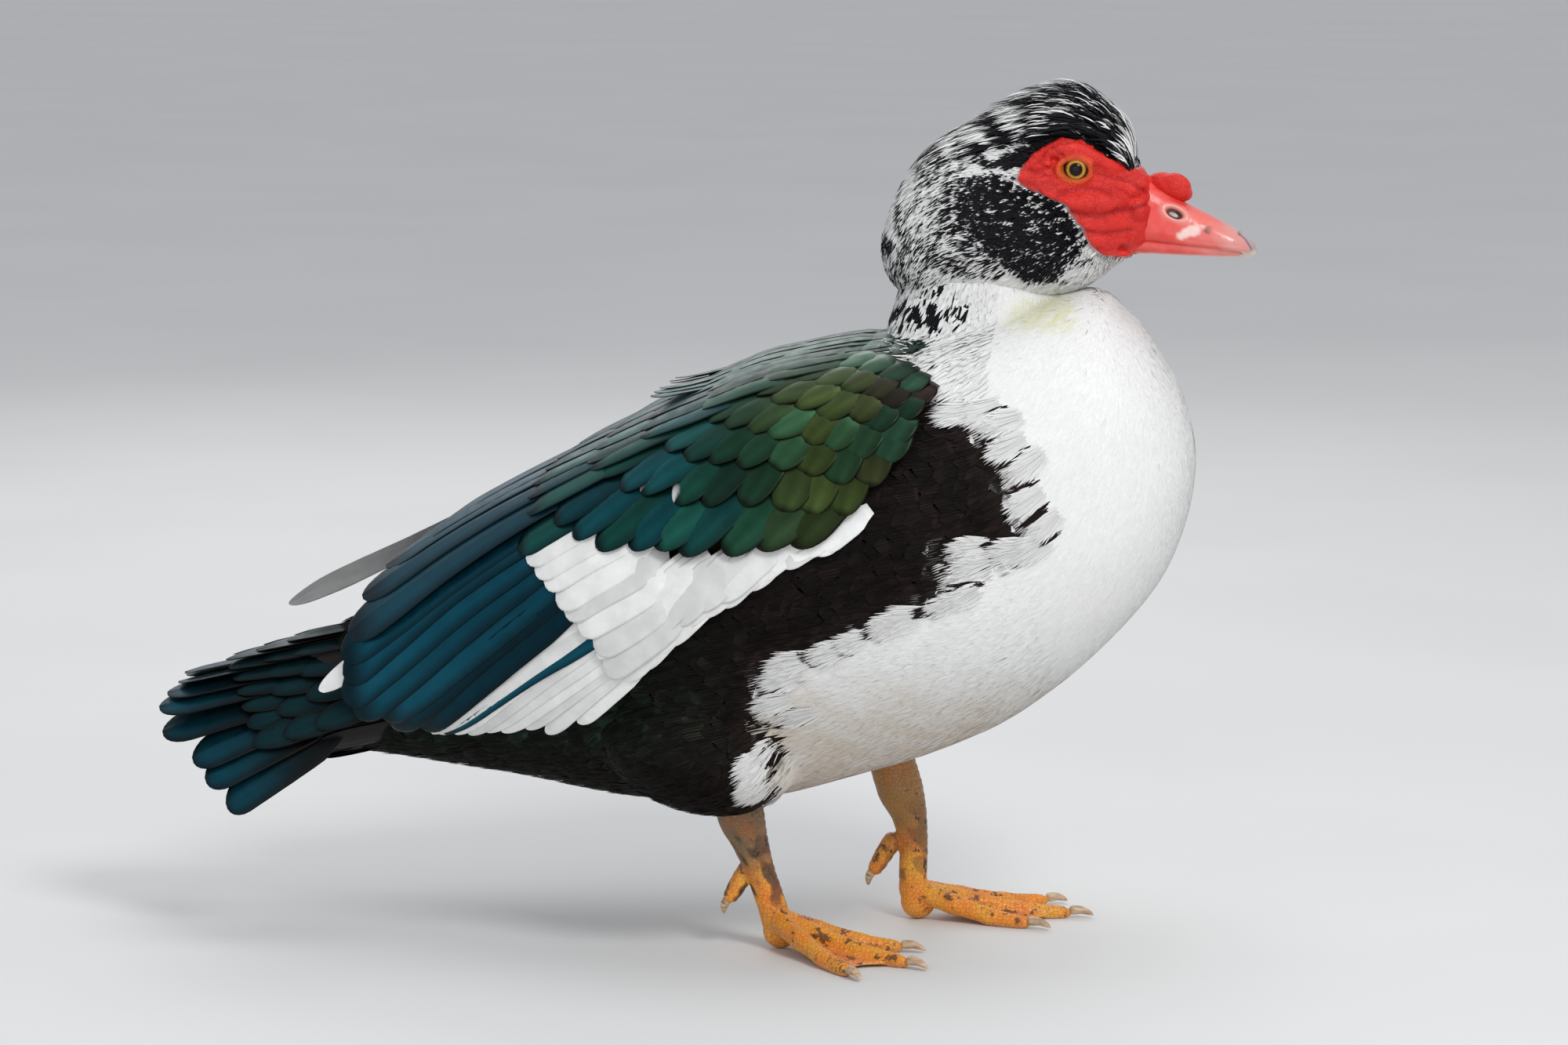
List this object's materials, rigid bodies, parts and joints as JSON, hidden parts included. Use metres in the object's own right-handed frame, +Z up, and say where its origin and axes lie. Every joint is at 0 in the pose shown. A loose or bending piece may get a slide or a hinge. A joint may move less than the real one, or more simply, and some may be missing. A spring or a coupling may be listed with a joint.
{
  "type": "muscovy duck",
  "caption": "Life-size standing muscovy drake, bare red face with knob, raised crest, folded wings and fanned tail, as a still display model.",
  "frame": {"origin": "on the ground under the feet, at the middle of the bird's length and width", "axes": "+Z up, bill towards -Y and tail towards +Y, the bird's left wing on +X"},
  "size_m": [0.2278, 0.5931, 0.4613],
  "materials": {
    "body_feathers": "black and white body feathers over flesh, soft with a slight sheen",
    "neck_feathers": "white and black mottled short feathers",
    "flight_feathers": "dark teal and bronze-green feathers with a metallic sheen, white wing patch",
    "bare_skin": "red, finely pebbled bare skin with folds",
    "bill_horn": "smooth pink and red bill horn with a pale nail",
    "leg_scales": "brown-tan scaled shanks with black marks",
    "foot_skin": "orange scaled toes and webs with dark spots",
    "claw_horn": "pale horn",
    "eye": "glossy, golden iris round a black pupil"
  },
  "bodies": {
    "root": {"torso": "body_feathers", "neck": "neck_feathers", "head": "bare_skin", "bill_upper": "bill_horn", "bill_lower": "bill_horn", "eye_right": "eye", "eye_left": "eye", "wing_right": "flight_feathers", "wing_left": "flight_feathers", "tail": "flight_feathers", "thigh_right": "body_feathers", "thigh_left": "body_feathers", "shank_right": "leg_scales", "shank_left": "leg_scales", "foot_right": "foot_skin", "foot_left": "foot_skin", "claw_inner_right": "claw_horn", "claw_middle_right": "claw_horn", "claw_outer_right": "claw_horn", "claw_hind_right": "claw_horn", "claw_inner_left": "claw_horn", "claw_middle_left": "claw_horn", "claw_outer_left": "claw_horn", "claw_hind_left": "claw_horn"}
  },
  "joints": []
}
